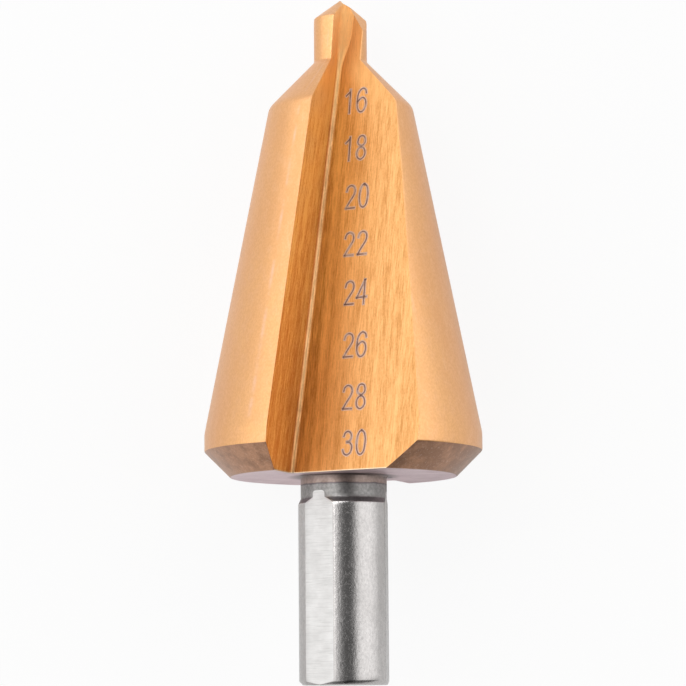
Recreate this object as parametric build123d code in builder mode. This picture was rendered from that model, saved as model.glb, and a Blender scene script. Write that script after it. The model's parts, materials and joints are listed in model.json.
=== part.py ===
"""Conical sheet drill, 16 to 30.5 mm: one piece of steel, lying flute-down on the floor at Z = 0.

It is modelled upright on its own axis, shank end at the origin and point at +Z, and is then laid
on the floor, point towards +Y, with the origin under the middle of its bounding box.
"""

import os
from math import cos, radians, sin

from build123d import *

# Shank: round, with three flats for the chuck jaws
shank_d = 10.0
shank_len = 19.7
shank_edge = 0.4  # chamfer at the free end
flat_count = 3
flat_depth = 0.34  # how far each flat is ground below the round
flat_run_out = 0.8  # how far the flats run on past the shank into the neck
flat_turn = -125.8  # direction of the first flat about the axis

# Neck between shank and head
neck_d = 9.45
neck_len = 2.5
neck_taper = 0.5  # short cone from the shank down to the neck

# Head: back face, back chamfer, land, main cone, lead-in cone, pilot, point
large_d = 30.5  # largest hole it opens
back_edge = 2.8  # 45 degree chamfer behind the land
land_len = 1.9
cone_len = 36.3
small_d = 16.0  # smallest hole it opens
lead_len = 5.2
pilot_d = 5.9
pilot_len = 4.95
point_len = 2.15
point_flat = 0.5  # blunt middle of the point

# Flutes: a V ground along a straight line that slants from the back face in to the pilot
flute_count = 2
flute_turn = -20.4  # direction of the first flute's rake wall about the axis
flute_angle = 79.4  # between the rake wall and the wall that carries the numbers
flute_floor_r = 0.4
rake_back = 3.42  # rake wall behind the axis, at the back face
rake_tip = 0.36  # rake wall ahead of the axis, at the top of the pilot
depth_back = 7.1  # flute floor short of the axis, at the back face
depth_tip = 0.1  # flute floor beyond the axis, at the top of the pilot

# Relief facet ground on each half of the point, behind its lip
facet_turn = -38.0
facet_slope = 56.3  # facet from the horizontal
facet_start = 0.85  # radius at which the facet begins

# Heights along the axis
neck_z = shank_len + neck_taper
back_z = shank_len + neck_taper + neck_len
land_z = back_z + back_edge
cone_z = land_z + land_len
lead_z = cone_z + cone_len
pilot_z = lead_z + lead_len
point_z = pilot_z + pilot_len
tip_z = point_z + point_len

with BuildPart() as flute:
    with BuildSketch(Plane.XY.offset(back_z).rotated((0, 0, flute_turn))) as section:
        with BuildLine():
            rake_wall = PolarLine((-rake_back, -depth_back), large_d, -90)
            number_wall = PolarLine(rake_wall @ 0, large_d, flute_angle - 90)
            Line(rake_wall @ 1, number_wall @ 1)
        make_face()
        fillet(section.vertices().sort_by_distance(rake_wall @ 0)[0], flute_floor_r)
    slant = Vector(rake_back + rake_tip, depth_back + depth_tip, point_z - back_z)
    extrude(amount=1.5 * tip_z, dir=slant.rotate(Axis.Z, flute_turn), both=True)

with BuildPart() as upright:
    with BuildSketch(Plane.XZ):
        # Sloped runs are Beziers, so the flutes cross the cones in splines and not in
        # hyperbolas, which some programs can't measure to
        with BuildLine():
            Line((0, 0), (shank_d / 2 - shank_edge, 0))
            Bezier((shank_d / 2 - shank_edge, 0), (shank_d / 2, shank_edge))
            Line((shank_d / 2, shank_edge), (shank_d / 2, shank_len))
            Bezier((shank_d / 2, shank_len), (neck_d / 2, neck_z))
            Line((neck_d / 2, neck_z), (neck_d / 2, back_z))
            Line((neck_d / 2, back_z), (large_d / 2 - back_edge, back_z))
            Bezier((large_d / 2 - back_edge, back_z), (large_d / 2, land_z))
            Line((large_d / 2, land_z), (large_d / 2, cone_z))
            Bezier((large_d / 2, cone_z), (small_d / 2, lead_z))
            Bezier((small_d / 2, lead_z), (pilot_d / 2, pilot_z))
            Line((pilot_d / 2, pilot_z), (pilot_d / 2, point_z))
            Bezier((pilot_d / 2, point_z), (point_flat / 2, tip_z))
            Line((point_flat / 2, tip_z), (0, tip_z))
            Line((0, tip_z), (0, 0))
        make_face()
    revolve(axis=Axis.Z)

    with PolarLocations(0, flute_count):
        add(flute.part, mode=Mode.SUBTRACT)

    with BuildSketch():
        with PolarLocations(shank_d - flat_depth, flat_count, flat_turn):
            Rectangle(shank_d, shank_d)
    extrude(amount=neck_z + flat_run_out, mode=Mode.SUBTRACT)

    point_slope = point_len / (pilot_d / 2 - point_flat / 2)
    facet_z = tip_z - point_slope * (facet_start - point_flat / 2)
    facet_out = Vector(sin(radians(facet_slope)), 0, cos(radians(facet_slope)))
    for half in range(flute_count):
        turn = facet_turn + half * 360 / flute_count
        facet_at = Vector(facet_start, 0, facet_z).rotate(Axis.Z, turn)
        facet = Plane(facet_at, z_dir=facet_out.rotate(Axis.Z, turn))
        split(bisect_by=facet, keep=Keep.BOTTOM)

# It rests on the flute that faces away: on the middle of that flute's cutting edge
# and on the corner where its other edge meets the land
edges = upright.edges().filter_by(GeomType.LINE, reverse=True)
edges = edges.filter_by_position(Axis.Z, cone_z, lead_z, inclusive=(False, False))
heel_edge, cutting_edge = edges.sort_by(Axis.Y)[-2:].sort_by(Axis.X)
heel_corner = Vector(*heel_edge.vertices().sort_by(Axis.Z)[0])
touch = cutting_edge @ 0.5
up = (cutting_edge % 0.5).cross(heel_corner - touch)
up = up if up.Y < 0 else -up
floor = Plane(touch, x_dir=Vector(0, 0, 1).cross(up), z_dir=up)
laid = floor.to_local_coords(upright.part)
box = laid.bounding_box()

with BuildPart() as drill:
    with Locations((-box.center().X, -box.center().Y, -box.min.Z)):
        add(laid)
drill.part.label = "drill"

os.makedirs("parts", exist_ok=True)
export_step(drill.part, "parts/drill.step")
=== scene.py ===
"""Looks of the conical sheet drill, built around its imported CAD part."""

import json
import math

import bmesh
import bpy
from mathutils import Euler, Matrix, Vector
from mathutils.geometry import tessellate_polygon


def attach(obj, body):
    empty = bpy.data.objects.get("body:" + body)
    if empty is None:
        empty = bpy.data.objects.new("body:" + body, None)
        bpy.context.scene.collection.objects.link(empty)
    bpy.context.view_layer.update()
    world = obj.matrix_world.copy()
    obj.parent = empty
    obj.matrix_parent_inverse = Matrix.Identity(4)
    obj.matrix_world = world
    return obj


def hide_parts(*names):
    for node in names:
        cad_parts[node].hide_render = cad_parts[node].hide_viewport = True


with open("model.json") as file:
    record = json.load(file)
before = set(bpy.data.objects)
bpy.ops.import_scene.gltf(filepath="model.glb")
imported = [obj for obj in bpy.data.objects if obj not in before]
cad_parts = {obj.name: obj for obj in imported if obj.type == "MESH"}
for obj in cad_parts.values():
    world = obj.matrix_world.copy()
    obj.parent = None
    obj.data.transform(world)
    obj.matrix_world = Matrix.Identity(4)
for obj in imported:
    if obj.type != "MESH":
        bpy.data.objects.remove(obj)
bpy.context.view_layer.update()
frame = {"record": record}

MM = 0.001
MOUNTS = {mount["name"]: mount for mount in frame["record"]["mounts"]}
# How the drill lies: from its own axes (mm, shank end at the origin, point at +Z) to the floor
SHANK_END_AT = Vector(MOUNTS["shank_end"]["pos_m"]) / MM
AXIS_SLOPE = math.degrees(math.asin(MOUNTS["shank_end"]["axis"][2]))  # shank end high
AXIS_ROLL = -0.123243  # degrees about its own axis
LAID = (
    Matrix.Translation(SHANK_END_AT)
    @ Matrix.Rotation(math.radians(-90 - AXIS_SLOPE), 4, "X")
    @ Matrix.Rotation(math.radians(AXIS_ROLL), 4, "Z")
)

# ---------------------------------------------------------------- sizes, mm
SHANK_R = MOUNTS["shank"]["dims"]["r_mm"]
NECK_R = 4.725
SHANK_TOP = MOUNTS["shank"]["dims"]["length_mm"]
NECK_Z = 20.2
BACK_Z = 22.7
FLAT_R = 4.66
FLAT_END = 21.0
FLAT_TURN = -125.8
SHANK_EDGE = 0.4
LARGE_R = 15.25
SMALL_R = 8.0
PILOT_R = 2.95
POINT_R = 0.08
CHAMFER = 2.8
LAND_Z = BACK_Z + CHAMFER
CONE_Z = 27.4
LEAD_Z = 63.7
PILOT_Z = 68.9
POINT_Z = 73.85
TIP_Z = 76.0
FLUTE_TURN = -20.4
WALL_ANGLE = -10.6  # of the number wall, in the flute's own axes
VALLEY_BACK = (-3.42, -7.1)
VALLEY_TIP = (0.36, 0.1)
VALLEY_R = 0.44
VALLEY_TIP_R = 1.1
VALLEY_OPENS = (68.0, 72.0)  # heights between which it opens out
EDGE_R = 0.07  # how far the edges are softened
FACET_TURN = -38.0
FACET_SLOPE = 56.3
FACET_START = 0.85
COATING_Z = 21.75  # where the coating stops on the neck
HIGHLIGHT_LINE_BEHIND = 9.5  # degrees from the cutting edge back to the painted highlight line on the land


def turned(x, y, degrees):
    a = math.radians(degrees)
    return (x * math.cos(a) - y * math.sin(a), x * math.sin(a) + y * math.cos(a))


# ---------------------------------------------------------------- head
PROFILE = [  # height, radius and how far the corner there is rounded
    (BACK_Z, LARGE_R - CHAMFER, 0.0),
    (LAND_Z, LARGE_R, 0.12),
    (CONE_Z, LARGE_R, 0.25),
    (LEAD_Z, SMALL_R, 0.45),
    (PILOT_Z, PILOT_R, 0.15),
    (POINT_Z, PILOT_R, 0.1),
    (TIP_Z, POINT_R, 0.0),
]
RUN_STEPS = (4, 4, 30, 9, 8, 9)  # loops on each run of the profile
EDGE_STEPS = 4
CORNER_STEPS = 5


def head_radius(z):
    """The profile's radius at height z, its corners rounded by parabolas."""
    for (z0, r0, _), (z1, r1, _) in zip(PROFILE, PROFILE[1:]):
        if z <= z1:
            break
    r = r0 + (r1 - r0) * (z - z0) / (z1 - z0)
    for before, here, after in zip(PROFILE, PROFILE[1:], PROFILE[2:]):
        soft = here[2]
        if abs(z - here[0]) < soft:
            m0 = (here[1] - before[1]) / (here[0] - before[0])
            m1 = (after[1] - here[1]) / (after[0] - here[0])
            ahead = z - here[0] + soft
            r = here[1] - m0 * soft + m0 * ahead + (m1 - m0) * ahead * ahead / (4 * soft)
    return r


def stations():
    """Heights of the head's loops, each with how far the loop is drawn in."""
    rows = []
    for i in range(EDGE_STEPS):
        a = math.radians(90 * i / EDGE_STEPS)
        rows.append((BACK_Z + EDGE_R * (1 - math.cos(a)), EDGE_R * (1 - math.sin(a))))
    for (start, end), steps in zip(zip(PROFILE, PROFILE[1:]), RUN_STEPS):
        z0 = start[0] + max(start[2], EDGE_R if start[0] == BACK_Z else 0)
        z1 = end[0] - end[2]
        rows += [(z0 + (z1 - z0) * i / steps, 0) for i in range(steps)]
        corner = range(CORNER_STEPS if end[2] else 1)
        rows += [(z1 + 2 * end[2] * i / CORNER_STEPS, 0) for i in corner]
    return rows


LAND_STEPS = 56
RAKE_STEPS = 6
VALLEY_STEPS = 8
NUMBER_STEPS = 8
SOFT_STEPS = 3


def rounded(before, corner, after, reach):
    """Points round a corner, from reach before it to reach after it."""
    a = corner + (before - corner).normalized() * min(reach, (before - corner).length / 2)
    b = corner + (after - corner).normalized() * min(reach, (after - corner).length / 2)
    points = []
    for i in range(SOFT_STEPS + 1):
        t = i / SOFT_STEPS
        points.append(a * (1 - t) ** 2 + corner * 2 * t * (1 - t) + b * t * t)
    return points


def valley_radius(z):
    """The valley's fillet opens out towards the point."""
    t = min(max((z - VALLEY_OPENS[0]) / (VALLEY_OPENS[1] - VALLEY_OPENS[0]), 0), 1)
    return VALLEY_R + (VALLEY_TIP_R - VALLEY_R) * t * t * (3 - 2 * t)


def half_loop(z, inset):
    """Half of the head's outline at height z.

    Each point has what it is on, its distance from the valley and, on a land, how many
    degrees it is behind the cutting edge.
    """
    r = max(head_radius(z) - inset, 0.05)
    t = (z - BACK_Z) / (POINT_Z - BACK_Z)
    wall = Vector((math.cos(math.radians(WALL_ANGLE)), math.sin(math.radians(WALL_ANGLE))))
    # drawn in, the rake wall moves to -x and the number wall along its own normal
    apex_x = VALLEY_BACK[0] + (VALLEY_TIP[0] - VALLEY_BACK[0]) * t - inset
    apex_y = VALLEY_BACK[1] + (VALLEY_TIP[1] - VALLEY_BACK[1]) * t
    apex = Vector((min(apex_x, 0.6 * r), apex_y + inset / wall.x - inset * wall.y / wall.x))
    rake = Vector((apex.x, -math.sqrt(max(r * r - apex.x ** 2, 1e-6))))
    along = apex.dot(wall)
    root = along * along - apex.length_squared + r * r
    if apex.length < r and root > 0:
        number = apex + wall * (math.sqrt(root) - along)
    else:  # near the tip the wall is narrower than its valley
        number = Vector((apex.x, -rake.y))
        apex = (rake + number) / 2
    start = math.atan2(number.y, number.x)
    end = math.atan2(-rake.y, -rake.x)
    soft = min(EDGE_R, r / 4)
    land = []
    for i in range(LAND_STEPS + 1):
        a = start + soft / r + (end - start - 2 * soft / r) * i / LAND_STEPS
        land.append(Vector((r * math.cos(a), r * math.sin(a))))
    # the land's far end meets the second flute, which is the first one turned by half a turn
    rake, apex, number = -rake, -apex, -number
    cut = rounded(land[-1], rake, apex, soft)
    heel = rounded(apex, number, -land[0], soft)
    half = math.radians(90 + WALL_ANGLE) / 2
    rake_dir = (rake - apex).normalized()
    number_dir = (number - apex).normalized()
    room = 0.8 * min((rake - apex).length, (number - apex).length)
    tangent = min(valley_radius(z) / math.tan(half), room)
    radius = tangent * math.tan(half)
    middle = apex + (rake_dir + number_dir).normalized() * (radius / math.sin(half))
    low = apex + rake_dir * tangent - middle
    high = apex + number_dir * tangent - middle
    a0 = math.atan2(low.y, low.x)
    turn = (math.atan2(high.y, high.x) - a0 + math.pi) % (2 * math.pi) - math.pi
    valley = []
    for i in range(VALLEY_STEPS + 1):
        a = a0 + turn * i / VALLEY_STEPS
        valley.append(middle + Vector((math.cos(a), math.sin(a))) * radius)
    points = [(p, "land") for p in land[:-1]]
    points += [(p, "land") for p in cut[:-1]]
    points += [(cut[-1].lerp(valley[0], i / RAKE_STEPS), "rake") for i in range(RAKE_STEPS)]
    points += [(p, "valley") for p in valley[:-1]]
    number_wall = [valley[-1].lerp(heel[0], i / NUMBER_STEPS) for i in range(NUMBER_STEPS)]
    points += [(p, "number") for p in number_wall]
    points += [(p, "land") for p in heel[:-1]]
    behind = [math.degrees(end - start) * (1 - i / LAND_STEPS) for i in range(LAND_STEPS)]
    behind += [0.0] * (len(points) - LAND_STEPS)
    return [(p, kind, (p - apex).length, gap) for (p, kind), gap in zip(points, behind)]


def loop(z, inset):
    """The head's whole outline at height z, in the drill's own axes."""
    half = half_loop(z, inset)
    whole = half + [(-p, *rest) for p, *rest in half]
    return [(Vector((*turned(p.x, p.y, FLUTE_TURN), z)), *rest) for p, *rest in whole]


MATERIALS = (
    "gold_land",
    "gold_rake",
    "gold_wall",
    "gold_valley",
    "gold_chamfer",
    "back_face",
    "neck",
    "steel_ground",
    "steel_flat",
)
SLOT = {name: i for i, name in enumerate(MATERIALS)}
WALL_SLOT = {"rake": "gold_rake", "valley": "gold_valley", "number": "gold_wall"}
# Grinding marks: which way they run on each wall of the flute that faces up
GRAIN = {
    "rake": Vector((0.136, 0.153, 1.0)).normalized(),
    "valley": Vector((0.118, 0.106, 1.0)).normalized(),
    "number": Vector((0.09, 0.123, 1.0)).normalized(),
}
ACROSS = {
    "rake": Vector((0.349, 0.937, 0.0)),
    "valley": Vector((1.0, 0.0, 0.0)),
    "number": Vector((0.857, -0.5145, 0.0037)),
}
LOWER_SHIFT = 40  # mm, so that the lower flute's marks aren't a copy of the upper one's


def grain_place(kind, co, upper):
    """Where a point lies across and along the grinding marks, in mm."""
    p = co if upper else Vector((-co.x, -co.y, co.z))
    along = GRAIN[kind]
    side = (ACROSS[kind] - along * ACROSS[kind].dot(along)).normalized()
    return (p.dot(side) + (0 if upper else LOWER_SHIFT), p.dot(along))


bm = bmesh.new()
grain = bm.loops.layers.uv.new("grain")
from_valley = bm.verts.layers.float.new("from_valley")  # mm
behind_edge = bm.verts.layers.float.new("behind_edge")  # degrees
previous = None
for z, inset in stations():
    points = loop(z, inset)
    verts = [bm.verts.new(point[0]) for point in points]
    for vert, (_, _, deep, gap) in zip(verts, points):
        vert[from_valley] = deep
        vert[behind_edge] = gap
    if previous:
        for i, (_, kind, _, _) in enumerate(points):
            j = (i + 1) % len(verts)
            face = bm.faces.new((previous[i], previous[j], verts[j], verts[i]))
            face.smooth = True
            if kind == "land":
                face.material_index = SLOT["gold_chamfer" if z <= LAND_Z else "gold_land"]
                continue
            face.material_index = SLOT[WALL_SLOT[kind]]
            for corner in face.loops:
                corner[grain].uv = grain_place(kind, corner.vert.co, i >= len(points) / 2)
    else:
        first = verts
    previous = verts
tip = bm.faces.new(previous)
tip.material_index = SLOT["gold_land"]

# Facets of the point
slope = (TIP_Z - POINT_Z) / (PILOT_R - POINT_R)
facet_z = TIP_Z - slope * (FACET_START - POINT_R)
facing = math.radians(FACET_SLOPE)
for half in range(2):
    turn = FACET_TURN + 180 * half
    out = Vector((*turned(math.sin(facing), 0, turn), math.cos(facing)))
    at = Vector((*turned(FACET_START, 0, turn), facet_z))
    geometry = [*bm.verts, *bm.edges, *bm.faces]
    plane = {"plane_co": at, "plane_no": out, "clear_outer": True}
    cut = bmesh.ops.bisect_plane(bm, geom=geometry, dist=1e-5, **plane)
    edges = [e for e in cut["geom_cut"] if isinstance(e, bmesh.types.BMEdge)]
    filled = bmesh.ops.edgenet_fill(bm, edges=edges)
    for face in filled["faces"]:
        face.material_index = SLOT["gold_land"]
        face.smooth = False

# ---------------------------------------------------------------- shank
ARC_STEPS = 22
FLAT_STEPS = 6
FLAT_COUNT = 3
NO_FLAT = 9.0  # a flat this far from the axis doesn't reach the metal
HOLLOW_R = 0.2  # hollow corner under the head
HOLLOW_STEPS = 4
RUN_OUT = 0.35  # length over which the flats run out
RUN_OUT_STEPS = 6


def shank_loop(r, z, flat_r):
    """The shank's outline at height z, each point with whether it is on a flat."""
    points = []
    reach = math.degrees(math.acos(min(flat_r / r, 1.0)))
    spacing = 360 / FLAT_COUNT
    for i in range(FLAT_COUNT):
        middle = FLAT_TURN + spacing * i
        side = r * math.sin(math.radians(reach))
        for k in range(FLAT_STEPS):
            x, y = turned(min(flat_r, r), -side + 2 * side * k / FLAT_STEPS, middle)
            points.append((Vector((x, y, z)), "flat"))
        for k in range(ARC_STEPS):
            a = math.radians(middle + reach + (spacing - 2 * reach) * k / ARC_STEPS)
            points.append((Vector((r * math.cos(a), r * math.sin(a), z)), "round"))
    return points


def shank_rows():
    """Radius, height and the flats' distance from the axis, from the head to the free end."""
    rows = []
    for i in range(HOLLOW_STEPS + 1):
        a = math.radians(90 * i / HOLLOW_STEPS)
        r = NECK_R + HOLLOW_R * (1 - math.sin(a))
        rows.append((r, BACK_Z - HOLLOW_R * (1 - math.cos(a)), NO_FLAT))
    for z in (COATING_Z + 0.25, COATING_Z - 0.25, FLAT_END + 0.01):
        rows.append((NECK_R, z, NO_FLAT))
    for i in range(RUN_OUT_STEPS + 1):
        a = math.radians(90 * i / RUN_OUT_STEPS)
        flat_r = FLAT_R + (NECK_R - FLAT_R) * (1 - math.sin(a)) * 0.999
        rows.append((NECK_R, FLAT_END - RUN_OUT * (1 - math.cos(a)), flat_r))
    # the taper between neck and shank, with a soft corner at each end
    rows.append((NECK_R, NECK_Z + 0.06, FLAT_R))
    rows.append((NECK_R + 0.02, NECK_Z, FLAT_R))
    for t in (0.25, 0.5, 0.75):
        r = NECK_R + (SHANK_R - NECK_R) * t
        rows.append((r, NECK_Z - (NECK_Z - SHANK_TOP) * t, FLAT_R))
    rows.append((SHANK_R - 0.02, SHANK_TOP + 0.01, FLAT_R))
    rows.append((SHANK_R, SHANK_TOP - 0.06, FLAT_R))
    for t in (0.02, 0.2, 0.4, 0.6, 0.8, 0.98):
        rows.append((SHANK_R, SHANK_TOP - (SHANK_TOP - 0.6) * t, FLAT_R))
    # the chamfer at the free end
    end_r = SHANK_R - SHANK_EDGE
    rows.append((SHANK_R, SHANK_EDGE + 0.1, FLAT_R))
    rows.append((SHANK_R - 0.03, SHANK_EDGE, FLAT_R))
    rows.append((end_r + 0.03, 0.04, min(FLAT_R, end_r + 0.03)))
    rows.append((end_r - 0.05, 0.0, min(FLAT_R, end_r - 0.05)))
    return rows


previous = None
for r, z, flat_r in shank_rows():
    points = shank_loop(r, z, flat_r)
    verts = [bm.verts.new(p) for p, _ in points]
    if previous:
        for i in range(len(verts)):
            j = (i + 1) % len(verts)
            face = bm.faces.new((previous[i], verts[i], verts[j], previous[j]))
            flat = points[i][1] == "flat" and flat_r < NO_FLAT
            round_slot = "steel_ground" if z < SHANK_TOP else "neck"
            face.material_index = SLOT["steel_flat" if flat else round_slot]
            face.smooth = True
    else:
        neck = verts
    previous = verts
end = bm.faces.new(list(reversed(previous)))
end.material_index = SLOT["steel_ground"]
# Back face: flat, between the head's outline and the neck
rims = first + neck
for corners in tessellate_polygon([[v.co for v in first], [v.co for v in neck]]):
    face = bm.faces.new([rims[i] for i in corners])
    face.material_index = SLOT["back_face"]
    face.smooth = False
bmesh.ops.recalc_face_normals(bm, faces=bm.faces)
bmesh.ops.transform(bm, matrix=Matrix.Scale(MM, 4) @ LAID, verts=bm.verts)

mesh = bpy.data.meshes.new("drill_body")
bm.to_mesh(mesh)
bm.free()
body = bpy.data.objects.new("drill_body", mesh)
bpy.context.scene.collection.objects.link(body)
weighted = body.modifiers.new("weighted", "WEIGHTED_NORMAL")
weighted.weight = 50
weighted.keep_sharp = True


# ---------------------------------------------------------------- materials
class Look:
    """A node material: its tree, and short ways to add and link nodes."""

    def __init__(self, name, colour, metallic, roughness):
        self.material = bpy.data.materials.new(name)
        self.material.use_nodes = True
        self.tree = self.material.node_tree
        self.shader = self.tree.nodes["Principled BSDF"]
        self.put(self.shader, {"Base Color": colour, "Metallic": metallic, "Roughness": roughness})

    def put(self, node, inputs):
        for key, value in inputs.items():
            if isinstance(value, bpy.types.NodeSocket):
                self.tree.links.new(value, node.inputs[key])
            elif isinstance(value, tuple) and len(value) == 3 and node.inputs[key].type == "RGBA":
                node.inputs[key].default_value = (*value, 1)
            else:
                node.inputs[key].default_value = value

    def add(self, kind, inputs=None, **settings):
        node = self.tree.nodes.new("ShaderNode" + kind)
        for key, value in settings.items():
            setattr(node, key, value)
        self.put(node, inputs or {})
        return node

    def drill_space(self):
        """The drill's own axes, in mm."""
        own = (Matrix.Scale(MM, 4) @ LAID).inverted()
        place = self.add("TexCoord").outputs["Object"]
        turn = self.add("Mapping", {"Vector": place}, vector_type="POINT")
        turn.inputs["Scale"].default_value = (1 / MM,) * 3
        turn.inputs["Rotation"].default_value = LAID.inverted().to_euler()
        turn.inputs["Location"].default_value = own.translation
        return turn.outputs[0]

    def grain_space(self):
        return self.add("UVMap", uv_map="grain").outputs[0]

    def noise(self, vector, scale, stretch=(1, 1, 1), detail=3.0, rough=0.55, bend=0.0, shift=0.0):
        place = {"Vector": vector, "Scale": stretch, "Location": (shift, shift, shift)}
        moved = self.add("Mapping", place).outputs[0]
        inputs = {"Vector": moved, "Scale": scale, "Detail": detail, "Roughness": rough}
        return self.add("TexNoise", {**inputs, "Distortion": bend}).outputs["Fac"]

    def span(self, value, low, high, to_low=0.0, to_high=1.0):
        inputs = {"Value": value, "From Min": low, "From Max": high, "To Min": to_low, "To Max": to_high}
        return self.add("MapRange", inputs).outputs[0]

    def mix(self, factor, a, b, blend="MIX"):
        node = self.add("Mix", data_type="RGBA", blend_type=blend)
        self.put(node, {0: factor})
        for key, value in ((6, a), (7, b)):
            if isinstance(value, bpy.types.NodeSocket):
                self.tree.links.new(value, node.inputs[key])
            else:
                node.inputs[key].default_value = (*value, 1)
        return node.outputs[2]

    def maths(self, operation, a, b=0.0):
        return self.add("Math", {0: a, 1: b}, operation=operation).outputs[0]

    def bump(self, height, depth_mm, strength=1.0, under=None):
        node = self.add("Bump", {"Height": height, "Distance": depth_mm * MM, "Strength": strength})
        if under:
            self.tree.links.new(under, node.inputs["Normal"])
        return node.outputs[0]


def gold_land():
    look = Look("gold_land", (0.88, 0.43, 0.155), 1.0, 0.36)
    own = look.drill_space()
    cloud = look.noise(own, 0.16, (1, 1, 0.4), 4)
    patches = look.noise(own, 1.0, (1, 1, 0.7), 4, 0.6, 0.0, 3.0)
    grain = look.noise(own, 4.5, (1, 1, 0.8), 3, 0.7)
    scuffs = look.noise(own, 0.55, (1, 1, 0.12), 6, 0.7, 0.6, 7.0)
    colour = look.mix(look.span(cloud, 0.35, 0.65), (0.84, 0.43, 0.185), (0.90, 0.49, 0.21))
    colour = look.mix(look.span(patches, 0.46, 0.64, 0, 0.7), colour, (0.89, 0.49, 0.235))
    colour = look.mix(look.span(grain, 0.40, 0.60, 0, 0.5), colour, (0.76, 0.375, 0.14))
    colour = look.mix(look.span(scuffs, 0.60, 0.74, 0, 0.4), colour, (0.90, 0.60, 0.38))
    # A faint broken painted highlight line a little behind the cutting edge, where the land was ground twice
    behind = look.add("Attribute", attribute_name="behind_edge").outputs["Fac"]
    away = look.maths("ABSOLUTE", look.maths("SUBTRACT", behind, HIGHLIGHT_LINE_BEHIND))
    broken = look.noise(own, 0.3, (0.2, 0.2, 1), 4, 0.6, 0.0, 5.0)
    seen = look.span(broken, 0.42, 0.62, 0.0, 0.45)
    line = look.maths("MULTIPLY", look.span(away, 0.2, 1.6, 1.0, 0.0), seen)
    colour = look.mix(line, colour, (0.88, 0.60, 0.48))
    rough = look.span(grain, 0.3, 0.7, 0.33, 0.42)
    look.put(look.shader, {"Base Color": colour, "Roughness": rough, "Normal": look.bump(grain, 0.003, 0.5)})
    look.put(look.shader, {"Coat Weight": 0.35, "Coat Roughness": 0.3})
    return look.material


def gold_flute(name, dark, light, length, root, lift, spread, dent, crown, dull):
    """Ground gold.

    The streaks go from dark to light, and by length they are longer or shorter. The wall is
    darker at its root and lower down, partly a real tint and partly painted shade of the valley;
    it is paler upwards by lift, a painted light, and has the crown's colour near the point, where
    it is duller too. A small spread makes the streaks sharp, and dent is their depth in mm.
    """
    look = Look(name, light, 1.0, 0.38)
    place = look.grain_space()
    fine = look.noise(place, 1.0, (7.0, 0.38 / length, 1), 5, 0.6, 0.25)
    bands = look.noise(place, 1.0, (1.3, 0.05 / length, 1), 3, 0.5, 0.2, 3.0)
    specks = look.noise(place, 1.0, (6.0, 3.5, 1), 2, 0.6, 0.0, 17.0)
    pits = look.noise(place, 1.0, (5.0, 1.2, 1), 3, 0.6, 0.3, 11.0)
    streaks = look.maths("ADD", look.maths("MULTIPLY", fine, 0.5), look.maths("MULTIPLY", bands, 0.33))
    streaks = look.maths("ADD", streaks, look.maths("MULTIPLY", specks, 0.17))
    height = look.add("SeparateXYZ", {"Vector": look.drill_space()}).outputs["Z"]
    # Painted light: the streaks turn paler towards the point by lift
    streaks = look.maths("ADD", streaks, look.span(height, 25.0, 65.0, -lift, lift))
    shine = look.span(streaks, 0.49 - spread, 0.49 + spread)
    colour = look.mix(shine, dark, light)
    crowned = look.mix(shine, tuple(c * 0.88 for c in crown), crown)
    colour = look.mix(look.span(height, 61.0, 69.0), colour, crowned)
    # Painted shade near the valley's crease, stronger lower down, partly a real tint there
    deep = look.add("Attribute", attribute_name="from_valley").outputs["Fac"]
    shade = look.span(look.maths("ADD", deep, look.span(bands, 0.3, 0.7, -0.8, 0.8)), 0.6, 3.4, root, 0.0)
    shade = look.maths("MULTIPLY", shade, look.span(height, 25.0, 72.0, 1.0, 0.3))
    shade = look.maths("MULTIPLY", shade, look.span(fine, 0.35, 0.65, 1.3, 0.7))
    colour = look.mix(shade, colour, (0.38, 0.34, 0.33), "MULTIPLY")
    colour = look.mix(look.span(pits, 0.66, 0.76, 0, 0.5), colour, (0.40, 0.17, 0.05))
    # The lower edge is pale: a painted highlight of the edge, partly wear as well
    colour = look.mix(look.span(height, BACK_Z + 0.05, BACK_Z + 0.15, 0.9, 0.0), colour, (1.0, 0.84, 0.62))
    matt = look.span(height, 67.0, 71.0, 0.0, dull)
    rough = look.maths("ADD", look.span(fine, 0.3, 0.7, 0.46, 0.36), matt)
    look.put(look.shader, {"Base Color": colour, "Roughness": rough, "Normal": look.bump(fine, dent, 1.0)})
    return look.material


def gold_chamfer():
    look = Look("gold_chamfer", (0.42, 0.25, 0.155), 1.0, 0.42)
    own = look.drill_space()
    across = look.add("SeparateXYZ", {"Vector": own}).outputs["X"]
    # Darker towards +X and lighter towards -X
    cloud = look.maths("ADD", look.noise(own, 0.6, (1, 1, 1), 5, 0.6), look.span(across, -13, 13, 0.1, -0.1))
    grain = look.noise(own, 4.0, (1, 1, 1), 4, 0.7, 0.0, 5.0)
    colour = look.mix(look.span(cloud, 0.38, 0.62), (0.33, 0.168, 0.094), (0.50, 0.262, 0.148))
    colour = look.mix(look.span(grain, 0.38, 0.52, 0.35, 0.0), colour, (0.24, 0.125, 0.07))
    colour = look.mix(look.span(grain, 0.58, 0.70, 0, 0.6), colour, (0.60, 0.45, 0.36))
    look.put(look.shader, {"Base Color": colour, "Normal": look.bump(grain, 0.004, 0.4)})
    look.put(look.shader, {"Coat Weight": 0.4, "Coat Roughness": 0.3})
    return look.material


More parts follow.
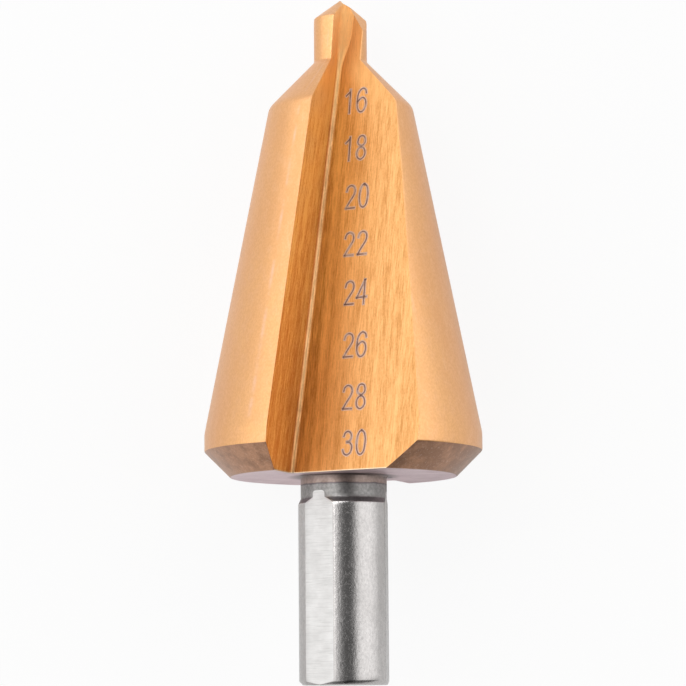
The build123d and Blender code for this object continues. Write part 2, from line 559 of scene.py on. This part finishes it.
def back_face():
    look = Look("back_face", (0.60, 0.52, 0.56), 1.0, 0.45)
    own = look.drill_space()
    cloud = look.noise(own, 0.35, (1, 1, 1), 5, 0.6)
    grain = look.noise(own, 3.5, (1, 1, 1), 4, 0.65, 0.0, 5.0)
    colour = look.mix(look.span(cloud, 0.38, 0.62), (0.69, 0.53, 0.56), (0.80, 0.64, 0.67))
    colour = look.mix(look.span(grain, 0.60, 0.72, 0, 0.6), colour, (0.26, 0.20, 0.22))
    # Painted shade and a painted reflection of the neck on the back face, in a ring round the neck
    flat = look.add("VectorMath", {0: own, 1: (1.0, 1.0, 0.0)}, operation="MULTIPLY").outputs[0]
    reach = look.add("VectorMath", {0: flat}, operation="LENGTH").outputs["Value"]
    colour = look.mix(look.span(reach, 4.8, 6.3, 0.8, 0.0), colour, (0.08, 0.06, 0.06))
    # One small nick
    away = look.add("VectorMath", {0: own, 1: (5.1, 1.3, 0.0)}, operation="SUBTRACT").outputs[0]
    away = look.add("VectorMath", {0: away, 1: (1 / 0.26, 1 / 0.9, 0.0)}, operation="MULTIPLY").outputs[0]
    nick = look.add("VectorMath", {0: away}, operation="LENGTH").outputs["Value"]
    colour = look.mix(look.span(nick, 0.7, 1.2, 0.75, 0.0), colour, (0.14, 0.11, 0.12))
    look.put(look.shader, {"Base Color": colour, "Normal": look.bump(grain, 0.006, 0.5)})
    return look.material


def neck():
    look = Look("neck", (0.4, 0.4, 0.38), 0.9, 0.35)
    own = look.drill_space()
    height = look.add("SeparateXYZ", {"Vector": own}).outputs["Z"]
    wobble = look.noise(own, 0.8, (1, 1, 1), 3)
    edge = look.maths("ADD", height, look.span(wobble, 0.3, 0.7, -0.06, 0.06))
    grain = look.noise(own, 3.0, (1, 1, 1), 5, 0.65, 0.0, 2.0)
    grey = look.mix(look.span(grain, 0.35, 0.65), (0.22, 0.215, 0.21), (0.34, 0.33, 0.32))
    tint = look.mix(look.span(grain, 0.35, 0.65), (0.30, 0.23, 0.20), (0.42, 0.33, 0.29))
    colour = look.mix(look.span(edge, COATING_Z - 0.03, COATING_Z + 0.03), grey, tint)
    line = look.span(look.maths("ABSOLUTE", look.maths("SUBTRACT", edge, COATING_Z)), 0.05, 0.12, 0.75, 0.0)
    colour = look.mix(line, colour, (0.13, 0.11, 0.12))
    # Painted shade on the taper below the neck, in place of the dark it mirrors
    colour = look.mix(look.span(height, NECK_Z - 0.05, NECK_Z + 0.1, 0.4, 0.0), colour, (0.09, 0.10, 0.105))
    # Painted shadow on the neck just under the head
    colour = look.mix(look.span(edge, 22.1, 22.6, 0.0, 0.6), colour, (0.08, 0.06, 0.06))
    look.put(look.shader, {"Base Color": colour, "Normal": look.bump(grain, 0.004, 0.5)})
    return look.material


def steel_ground():
    look = Look("steel_ground", (0.5, 0.5, 0.49), 1.0, 0.34)
    own = look.drill_space()
    cloud = look.noise(own, 0.35, (1, 1, 0.6), 5, 0.6)
    grain = look.noise(own, 4.2, (1, 1, 0.6), 4, 0.7, 0.0, 4.0)
    colour = look.mix(look.span(cloud, 0.38, 0.62), (0.50, 0.48, 0.47), (0.57, 0.55, 0.54))
    colour = look.mix(look.span(grain, 0.40, 0.62, 0, 0.6), colour, (0.40, 0.385, 0.38))
    specks = look.noise(own, 5.5, (1, 1, 0.8), 2, 0.7, 0.0, 12.0)
    spots = look.span(specks, 0.55, 0.68, 0.0, 0.12)
    rough = look.maths("ADD", look.span(grain, 0.3, 0.7, 0.16, 0.24), spots)
    waves = look.noise(own, 1.1, (1, 1, 0.7), 3, 0.6, 0.0, 8.0)
    normal = look.bump(grain, 0.016, 1.0, look.bump(waves, 0.02, 0.8))
    look.put(look.shader, {"Base Color": colour, "Roughness": rough, "Normal": normal})
    return look.material


def steel_flat():
    look = Look("steel_flat", (0.62, 0.61, 0.60), 1.0, 0.42)
    own = look.drill_space()
    lines = look.noise(own, 1.0, (0.35, 0.35, 11.0), 4, 0.7, 0.2)
    cloud = look.noise(own, 0.6, (1, 1, 1.5), 4, 0.6, 0.0, 9.0)
    colour = look.mix(look.span(cloud, 0.35, 0.65), (0.58, 0.57, 0.56), (0.66, 0.65, 0.64))
    colour = look.mix(look.span(lines, 0.50, 0.66, 0, 0.6), colour, (0.46, 0.45, 0.44))
    rough = look.span(lines, 0.3, 0.7, 0.38, 0.46)
    look.put(look.shader, {"Base Color": colour, "Roughness": rough, "Normal": look.bump(lines, 0.003, 0.6)})
    return look.material


def mark(name, pale, deep):
    look = Look(name, pale, 0.5, 0.5)
    own = look.drill_space()
    specks = look.noise(own, 6.0, (1, 1, 1), 3)
    colour = look.mix(look.span(specks, 0.35, 0.65), pale, deep)
    worn = look.noise(own, 1.1, (1, 1, 1), 3, 0.55, 0.0, 2.0)
    colour = look.mix(look.span(worn, 0.50, 0.64, 0, 0.6), colour, (0.60, 0.44, 0.38))
    look.put(look.shader, {"Base Color": colour})
    return look.material


LOOKS = {
    "gold_land": gold_land(),
    "gold_rake": gold_flute(
        "gold_rake", dark=(0.68, 0.315, 0.083), light=(1.0, 0.74, 0.32), length=0.9, root=0.0,
        lift=0.05, spread=0.07, dent=0.008, crown=(1.0, 0.60, 0.26), dull=0.22,
    ),
    "gold_wall": gold_flute(
        "gold_wall", dark=(0.61, 0.285, 0.09), light=(0.92, 0.50, 0.205), length=0.8, root=0.52,
        lift=0.0, spread=0.10, dent=0.004, crown=(0.82, 0.41, 0.145), dull=0.22,
    ),
    "gold_valley": gold_flute(
        "gold_valley", dark=(0.54, 0.27, 0.105), light=(0.90, 0.53, 0.25), length=0.7, root=0.0,
        lift=0.0, spread=0.10, dent=0.008, crown=(1.0, 0.60, 0.25), dull=0.32,
    ),
    "gold_chamfer": gold_chamfer(),
    "back_face": back_face(),
    "neck": neck(),
    "steel_ground": steel_ground(),
    "steel_flat": steel_flat(),
}
for name in MATERIALS:
    mesh.materials.append(LOOKS[name])
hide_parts("drill")
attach(body, "root")


# ---------------------------------------------------------------- numbers on the flute's wall
NUMBERS_LEAN = 0.2156  # degrees, of the column of numbers from the drill's axis
WALL_AT = Vector((*turned(*VALLEY_BACK, FLUTE_TURN), BACK_Z))
valley_top = Vector((*turned(*VALLEY_TIP, FLUTE_TURN), POINT_Z))
wall_line = Vector((*turned(1, 0, WALL_ANGLE + FLUTE_TURN), 0))
WALL_OUT = wall_line.cross(valley_top - WALL_AT).normalized()
leaning = Matrix.Rotation(math.radians(NUMBERS_LEAN), 3, WALL_OUT)
WALL_SIDE = leaning @ wall_line
WALL_UP = leaning @ WALL_OUT.cross(wall_line)
# Each number is a dark line between two pale burrs; widths and heights in mm
LINE_WIDTH = 0.15
LINE_TOP = 0.012
BURR_WIDTH = 0.36
BURR_TOP = 0.006
SUNK = -0.01
END_REACH = 0.45  # how far a stroke runs past its last points, in its own widths
DIGITS = {  # strokes, in mm from the digit's middle
    "0": [[(0, 1.31), (0.33, 1.08), (0.5, 0.5), (0.52, -0.1), (0.42, -0.85), (0.22, -1.2), (-0.04, -1.31),
           (-0.32, -1.1), (-0.48, -0.6), (-0.53, 0), (-0.44, 0.75), (-0.25, 1.18), (0, 1.31)]],
    "1": [[(-0.26, 0.69), (0.22, 1.12)], [(0.25, 1.36), (0.26, -1.36)]],
    "2": [[(-0.54, 0.68), (-0.42, 1.08), (-0.04, 1.3), (0.36, 1.12), (0.51, 0.72), (0.44, 0.3), (0.2, -0.12),
           (-0.2, -0.72), (-0.5, -1.26)], [(-0.52, -1.28), (0.55, -1.29)]],
    "3": [[(-0.5, 0.78), (-0.38, 1.12), (-0.05, 1.3), (0.3, 1.12), (0.43, 0.78), (0.38, 0.42), (0.15, 0.2),
           (-0.08, 0.12)],
          [(-0.08, 0.12), (0.3, 0.02), (0.55, -0.42), (0.42, -1.0), (0.2, -1.2), (-0.03, -1.3),
           (-0.38, -1.12), (-0.55, -0.72)]],
    "4": [[(0.3, 1.36), (-0.59, -0.61)], [(-0.59, -0.61), (0.59, -0.59)], [(0.3, 1.36), (0.28, -1.38)]],
    "6": [[(0.54, 0.78), (0.43, 1.15), (0.08, 1.36), (-0.3, 1.12), (-0.52, 0.62), (-0.57, -0.1),
           (-0.52, -0.75), (-0.3, -1.22), (0, -1.37), (0.35, -1.15), (0.55, -0.55), (0.44, 0.02),
           (0.11, 0.28), (-0.22, 0.15), (-0.5, -0.15)]],
    "8": [[(0, 0.12), (-0.4, 0.45), (-0.46, 0.78), (-0.3, 1.22), (0.02, 1.35), (0.34, 1.2), (0.46, 0.75),
           (0.38, 0.42), (0, 0.12), (-0.36, -0.15), (-0.53, -0.62), (-0.4, -1.12), (-0.02, -1.36),
           (0.38, -1.12), (0.53, -0.64), (0.36, -0.15), (0, 0.12)]],
}
NUMBERS = [  # text, the middle of each digit across the wall, and both along it, in mm
    ("16", 3.94, 5.71, 41.9),
    ("18", 4.31, 6.06, 36.35),
    ("20", 5.15, 6.79, 30.73),
    ("22", 5.38, 7.04, 25.32),
    ("24", 5.84, 7.41, 19.75),
    ("26", 6.17, 7.8, 13.84),
    ("28", 6.51, 8.16, 8.03),
    ("30", 6.89, 8.55, 2.94),
]
CURVE_STEPS = 6


def smoothed(stroke):
    """Points along a smooth curve through the stroke's points."""
    points = [Vector(p) for p in stroke]
    if len(points) == 2:
        return [points[0].lerp(points[1], i / CURVE_STEPS) for i in range(CURVE_STEPS + 1)]
    closed = (points[0] - points[-1]).length < 1e-6
    before = [points[-2] if closed else points[0] * 2 - points[1]]
    after = [points[1] if closed else points[-1] * 2 - points[-2]]
    ring = before + points + after
    curve = []
    for p0, p1, p2, p3 in zip(ring, ring[1:], ring[2:], ring[3:]):
        for i in range(CURVE_STEPS):
            t = i / CURVE_STEPS
            curve.append(0.5 * (2 * p1 + (p2 - p0) * t + (2 * p0 - 5 * p1 + 4 * p2 - p3) * t * t
                                + (3 * p1 - p0 - 3 * p2 + p3) * t ** 3))
    return curve + [points[-1]]


def add_stroke(bm, curve, at, width, top):
    """A thin raised line with square ends along the curve, sunk into the wall."""
    rows = []
    for i, p in enumerate(curve):
        way = (curve[min(i + 1, len(curve) - 1)] - curve[max(i - 1, 0)]).normalized()
        if i == 0:
            p = p - way * width * END_REACH
        elif i == len(curve) - 1:
            p = p + way * width * END_REACH
        side = Vector((-way.y, way.x)) * width / 2
        row = []
        for offset, height in ((side, top), (-side, top), (-side * 1.2, SUNK), (side * 1.2, SUNK)):
            q = at + p + offset
            row.append(bm.verts.new(WALL_AT + WALL_SIDE * q.x + WALL_UP * q.y + WALL_OUT * height))
        rows.append(row)
    for a, b in zip(rows, rows[1:]):
        for i in range(4):
            bm.faces.new((a[i], a[(i + 1) % 4], b[(i + 1) % 4], b[i]))
    bm.faces.new(rows[0])
    bm.faces.new(rows[-1][::-1])


def add_marks(name, material, width, top):
    """All the numbers, as one piece."""
    bm = bmesh.new()
    for text, left, right, height in NUMBERS:
        for digit, across in zip(text, (left, right)):
            for stroke in DIGITS[digit]:
                add_stroke(bm, smoothed(stroke), Vector((across, height)), width, top)
    bmesh.ops.recalc_face_normals(bm, faces=bm.faces)
    bmesh.ops.transform(bm, matrix=Matrix.Scale(MM, 4) @ LAID, verts=bm.verts)
    marks = bpy.data.meshes.new(name)
    bm.to_mesh(marks)
    bm.free()
    marks.materials.append(material)
    piece = bpy.data.objects.new(name, marks)
    bpy.context.scene.collection.objects.link(piece)
    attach(piece, "root")


burr_look = mark("number_burrs", (0.74, 0.52, 0.42), (0.66, 0.42, 0.30))
add_marks("number_burrs", burr_look, BURR_WIDTH, BURR_TOP)
line_look = mark("numbers", (0.20, 0.12, 0.11), (0.28, 0.16, 0.13))
add_marks("numbers", line_look, LINE_WIDTH, LINE_TOP)

# ---------------------------------------------------------------- camera
CAMERA_AT = Vector((-0.719319, 9.629348, 348.056510))  # mm
CAMERA_TURN = (-1.674711, -0.134612, -0.418491)  # degrees about X, Y and Z
FOCAL_PX = 3056.41
WIDTH_PX = 686
SHIFT_PX = (0.374, 0.5)
SENSOR_MM = 36.0
camera = bpy.data.objects.new("camera", bpy.data.cameras.new("camera"))
bpy.context.scene.collection.objects.link(camera)
camera_turn = Euler([math.radians(degrees) for degrees in CAMERA_TURN])
camera.matrix_world = Matrix.LocRotScale(CAMERA_AT * MM, camera_turn, None)
camera.data.sensor_width = SENSOR_MM
camera.data.lens = SENSOR_MM * FOCAL_PX / WIDTH_PX
camera.data.shift_x = SHIFT_PX[0] / WIDTH_PX
camera.data.shift_y = SHIFT_PX[1] / WIDTH_PX
camera.data.clip_start = 0.01
camera.data.clip_end = 20
bpy.context.scene.camera = camera

# ---------------------------------------------------------------- floor, lights
PAPER_SEEN = 0.9  # how much of the floor's own white the camera sees
PAPER_MIRRORED = 0.22  # and how much of it the metal mirrors
bpy.ops.mesh.primitive_plane_add(size=4)
floor = bpy.context.active_object
floor.name = "floor"
floor_look = Look("floor_white", (0.94, 0.94, 0.94), 0.0, 0.9)
glow = floor_look.add("Emission", {"Color": (1, 1, 1), "Strength": 1.0})
path = floor_look.add("LightPath").outputs
mirrored = floor_look.maths("MAXIMUM", path["Is Glossy Ray"], path["Is Transmission Ray"])
straight = floor_look.maths("MULTIPLY", path["Is Camera Ray"], PAPER_SEEN)
in_metal = floor_look.maths("MULTIPLY", mirrored, PAPER_MIRRORED)
seen = floor_look.maths("MAXIMUM", straight, in_metal)
both = floor_look.add("MixShader", {0: seen})
floor_look.tree.links.new(floor_look.shader.outputs[0], both.inputs[1])
floor_look.tree.links.new(glow.outputs[0], both.inputs[2])
floor_look.tree.links.new(both.outputs[0], floor_look.tree.nodes["Material Output"].inputs[0])
floor.data.materials.append(floor_look.material)

# A strip above the point: it lights the flute's walls
STRIP_SIZE = (0.55, 0.07)  # m
STRIP_AT = Vector((-0.12, 0.25, 0.49))
STRIP_BRIGHTNESS = 3.7
strip = bpy.data.lights.new("strip", "AREA")
strip.shape = "RECTANGLE"
strip.size, strip.size_y = STRIP_SIZE
strip.energy = STRIP_BRIGHTNESS * math.pi * strip.size * strip.size_y
panel = bpy.data.objects.new("strip", strip)
bpy.context.scene.collection.objects.link(panel)
panel.location = STRIP_AT
panel.rotation_euler = (-STRIP_AT).to_track_quat("-Z", "Y").to_euler()

# The studio: bright on both sides, dark overhead where the camera is and towards the shank
LEVELS = [  # degrees from straight up towards +X, and how bright it is there
    (-100, 0.8),
    (-84, 1.45),
    (-30, 1.4),
    (-4, 0.12),
    (21, 0.12),
    (38, 1.45),
    (60, 1.6),
    (86, 1.35),
    (100, 0.75),
]
PEAK = max(level for _, level in LEVELS)
SHANK_SIDE = 0.12  # how bright it is behind the shank, as a share of the rest
FADE = (-0.85, -0.25)  # towards the shank: where it is darkest, and where it starts to fade
FADE_LEAN = -0.4  # how much the fade leans towards +X
world = bpy.data.worlds.new("studio")
bpy.context.scene.world = world
world.use_nodes = True
tree = world.node_tree
link = tree.links.new
background = tree.nodes["Background"]
way = tree.nodes.new("ShaderNodeSeparateXYZ")
link(tree.nodes.new("ShaderNodeTexCoord").outputs["Generated"], way.inputs[0])
turn = tree.nodes.new("ShaderNodeMath")
turn.operation = "ARCTAN2"
link(way.outputs["X"], turn.inputs[0])
link(way.outputs["Z"], turn.inputs[1])
place = tree.nodes.new("ShaderNodeMapRange")
place.inputs["From Min"].default_value = -math.pi
place.inputs["From Max"].default_value = math.pi
link(turn.outputs[0], place.inputs["Value"])
ramp = tree.nodes.new("ShaderNodeValToRGB")
ramp.color_ramp.interpolation = "EASE"
ends = (LEVELS[0][0], LEVELS[-1][0])
for element, degrees in zip(ramp.color_ramp.elements, ends):
    element.position = (degrees + 180) / 360
for degrees, _ in LEVELS[1:-1]:
    ramp.color_ramp.elements.new((degrees + 180) / 360)
for element, (_, level) in zip(ramp.color_ramp.elements, LEVELS):
    element.color = (level / PEAK, level / PEAK, level / PEAK, 1)
link(place.outputs[0], ramp.inputs[0])
shade = tree.nodes.new("ShaderNodeMapRange")
shade.interpolation_type = "SMOOTHSTEP"
shade.inputs["From Min"].default_value = FADE[0]
shade.inputs["From Max"].default_value = FADE[1]
shade.inputs["To Min"].default_value = SHANK_SIDE * PEAK
shade.inputs["To Max"].default_value = PEAK
lean = tree.nodes.new("ShaderNodeMath")
lean.operation = "MULTIPLY_ADD"
link(way.outputs["X"], lean.inputs[0])
lean.inputs[1].default_value = FADE_LEAN
link(way.outputs["Y"], lean.inputs[2])
link(lean.outputs[0], shade.inputs["Value"])
link(ramp.outputs[0], background.inputs["Color"])
link(shade.outputs[0], background.inputs["Strength"])
bpy.context.scene.view_settings.view_transform = "Standard"
